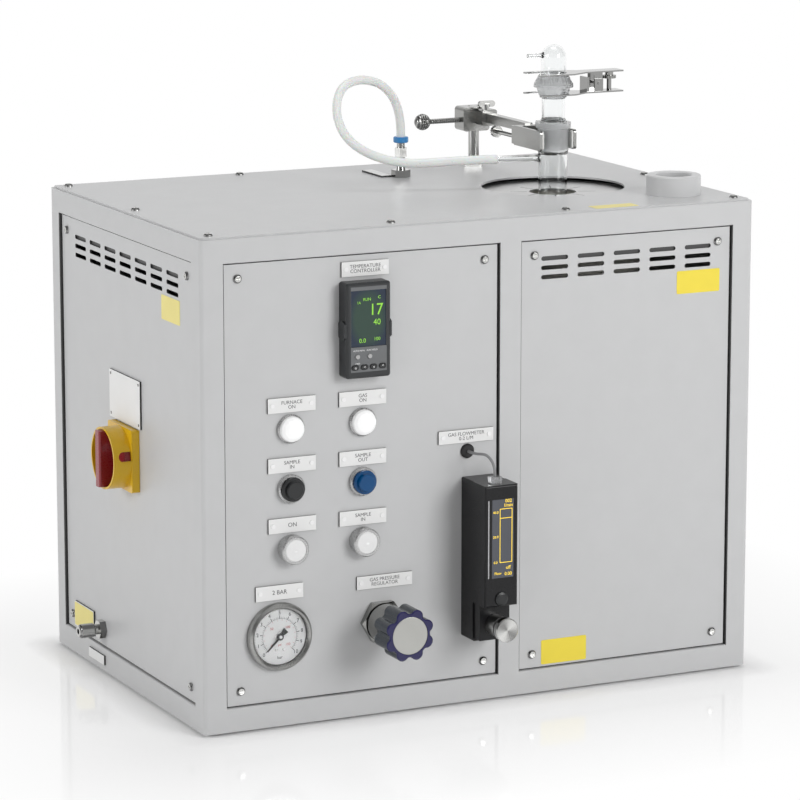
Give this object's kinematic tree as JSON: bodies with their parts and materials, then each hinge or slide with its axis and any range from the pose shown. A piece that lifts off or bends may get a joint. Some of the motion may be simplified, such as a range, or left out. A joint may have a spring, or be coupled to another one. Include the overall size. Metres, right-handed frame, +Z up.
{
  "type": "tube furnace",
  "caption": "Bench-top vertical tube furnace: square cabinet with controller, lamps, gauge, regulator and flow meter, quartz tube in a clamp stand, gas hose.",
  "frame": {"origin": "bottom centre of the whole part's box, at the height of the feet", "axes": "+Z up, front panel faces -Y, +X to the right seen from the front"},
  "size_m": [0.656, 0.475, 0.656],
  "materials": {
    "cabinet_paint": "light grey powder coat, finely textured",
    "panel_paint": "light grey powder coat, smooth",
    "black_rubber": "matte rubber",
    "zinc_steel": "bright zinc-plated steel",
    "bright_steel": "bright stainless steel",
    "ceramic_fibre": "white ceramic fibre",
    "quartz": "clear fused quartz with ground joints",
    "cast_alloy": "satin cast and machined alloy",
    "white_pad": "soft white pad",
    "blue_plastic": "blue moulded plastic",
    "silicone": "translucent silicone",
    "black_plastic": "black moulded plastic",
    "dark_grey_plastic": "charcoal moulded plastic",
    "screen": "dark display window",
    "white_lens": "opal lens",
    "white_plastic": "white laminate and plastic",
    "red_plastic": "red moulded plastic",
    "yellow_plastic": "yellow moulded plastic",
    "navy_plastic": "navy moulded plastic",
    "clear_plastic": "clear moulded plastic"
  },
  "bodies": {
    "cabinet": {"cabinet_frame": "cabinet_paint", "rubber_feet": "black_rubber", "lid_panel": "cabinet_paint", "control_panel": "panel_paint", "furnace_front_panel": "panel_paint", "left_side_panel": "panel_paint", "right_side_panel": "panel_paint", "back_panel": "panel_paint", "panel_screws": "zinc_steel", "tube_guard_disc": "bright_steel", "insulation_block": "ceramic_fibre", "heater_sleeve": "ceramic_fibre", "work_tube": "quartz", "adapter_tube": "quartz", "fork_lower": "bright_steel", "stand_rod": "bright_steel", "boss_head": "cast_alloy", "clamp_arm": "cast_alloy", "left_pad": "white_pad", "hose_fitting": "bright_steel", "hose_collar": "blue_plastic", "silicone_hose": "silicone", "tube_rest_cup": "cabinet_paint", "controller_case": "dark_grey_plastic", "controller_screen": "screen", "lamp_bezels": "black_plastic", "lamp_lenses": "white_lens", "gauge_case": "bright_steel", "gauge_dial": "white_plastic", "regulator_body": "cast_alloy", "meter_body": "black_plastic", "meter_cover": "black_plastic", "cable_grommet": "black_rubber", "meter_cable": "black_rubber", "meter_plug": "clear_plastic", "switch_plate": "yellow_plastic", "gas_inlet": "bright_steel", "mains_inlet": "black_plastic", "label_plates": "white_plastic"},
    "cap": {"dome_cap": "quartz"},
    "upper_fork": {"fork_upper": "bright_steel"},
    "wheel": {"fork_wheel": "cast_alloy"},
    "knob_screw": {"boss_knob": "bright_steel"},
    "wing_screw": {"boss_wing": "zinc_steel"},
    "adjusting_screw": {"clamp_screw": "zinc_steel"},
    "finger": {"clamp_finger": "cast_alloy", "right_pad": "white_pad"},
    "key_1": {"controller_key_1": "dark_grey_plastic"},
    "key_2": {"controller_key_2": "dark_grey_plastic"},
    "key_3": {"controller_key_3": "dark_grey_plastic"},
    "key_4": {"controller_key_4": "dark_grey_plastic"},
    "mode_key_1": {"controller_mode_key_1": "white_plastic"},
    "mode_key_2": {"controller_mode_key_2": "white_plastic"},
    "needle": {"gauge_needle": "black_plastic"},
    "regulator_handwheel": {"regulator_knob": "navy_plastic"},
    "meter_key": {"meter_button": "black_plastic"},
    "metering_knob": {"valve_knob": "bright_steel"},
    "switch_rotor": {"switch_handle": "red_plastic"},
    "start_button": {"black_button": "black_plastic"},
    "stop_button": {"blue_button": "blue_plastic"}
  },
  "joints": [
    {"name": "cap_turn", "type": "hinge", "parent": "cabinet", "child": "cap", "pos_m": [0.1835, 0.0005, 0.611], "axis": [0, 0, 1], "continuous": true},
    {"name": "fork_open", "type": "hinge", "parent": "cabinet", "child": "upper_fork", "pos_m": [0.2335, 0.0005, 0.613], "axis": [0, 1, 0], "range_deg": [0, 10]},
    {"name": "wheel_travel", "type": "slide", "parent": "cabinet", "child": "wheel", "axis": [0, 0, -1], "range_m": [0, 0.004]},
    {"name": "knob_screw_turn", "type": "hinge", "parent": "cabinet", "child": "knob_screw", "pos_m": [0.1775, 0.1755, 0.557], "axis": [1, 0, 0], "continuous": true},
    {"name": "wing_screw_turn", "type": "hinge", "parent": "cabinet", "child": "wing_screw", "pos_m": [0.1835, 0.1565, 0.563], "axis": [0, 0, 1], "continuous": true},
    {"name": "adjusting_screw_turn", "type": "hinge", "parent": "cabinet", "child": "adjusting_screw", "pos_m": [0.1835, 0.0825, 0.548], "axis": [0, 1, 0], "range_deg": [0, 1440]},
    {"name": "finger_open", "type": "hinge", "parent": "cabinet", "child": "finger", "pos_m": [0.2038, 0.0505, 0.555], "axis": [0, 0, 1], "range_deg": [0, 20]},
    {"name": "key_1_press", "type": "slide", "parent": "cabinet", "child": "key_1", "axis": [0, 1, 0], "range_m": [0, 0.0008], "stiffness_N_per_m": 400},
    {"name": "key_2_press", "type": "slide", "parent": "cabinet", "child": "key_2", "axis": [0, 1, 0], "range_m": [0, 0.0008], "stiffness_N_per_m": 400},
    {"name": "key_3_press", "type": "slide", "parent": "cabinet", "child": "key_3", "axis": [0, 1, 0], "range_m": [0, 0.0008], "stiffness_N_per_m": 400},
    {"name": "key_4_press", "type": "slide", "parent": "cabinet", "child": "key_4", "axis": [0, 1, 0], "range_m": [0, 0.0008], "stiffness_N_per_m": 400},
    {"name": "mode_key_1_press", "type": "slide", "parent": "cabinet", "child": "mode_key_1", "axis": [0, 1, 0], "range_m": [0, 0.0008], "stiffness_N_per_m": 400},
    {"name": "mode_key_2_press", "type": "slide", "parent": "cabinet", "child": "mode_key_2", "axis": [0, 1, 0], "range_m": [0, 0.0008], "stiffness_N_per_m": 400},
    {"name": "needle_turn", "type": "hinge", "parent": "cabinet", "child": "needle", "pos_m": [-0.2145, -0.173, 0.096], "axis": [0, 1, 0], "range_deg": [0, 270]},
    {"name": "regulator_turn", "type": "hinge", "parent": "cabinet", "child": "regulator_handwheel", "pos_m": [-0.1005, -0.2175, 0.099], "axis": [0, 1, 0], "continuous": true},
    {"name": "meter_key_press", "type": "slide", "parent": "cabinet", "child": "meter_key", "axis": [0, 1, 0], "range_m": [0, 0.0012], "stiffness_N_per_m": 400},
    {"name": "metering_turn", "type": "hinge", "parent": "cabinet", "child": "metering_knob", "pos_m": [0.009, -0.2175, 0.092], "axis": [0, 1, 0], "continuous": true},
    {"name": "switch_turn", "type": "hinge", "parent": "cabinet", "child": "switch_rotor", "pos_m": [-0.3045, 0.0325, 0.2495], "axis": [1, 0, 0], "range_deg": [0, 90]},
    {"name": "start_press", "type": "slide", "parent": "cabinet", "child": "start_button", "axis": [0, 1, 0], "range_m": [0, 0.004], "stiffness_N_per_m": 500},
    {"name": "stop_press", "type": "slide", "parent": "cabinet", "child": "stop_button", "axis": [0, 1, 0], "range_m": [0, 0.004], "stiffness_N_per_m": 500}
  ],
  "couplings": [
    {"joint": "fork_open", "follows": "wheel_travel", "rad_per_m": 43.546},
    {"joint": "finger_open", "follows": "adjusting_screw_turn", "ratio": 0.013875}
  ]
}
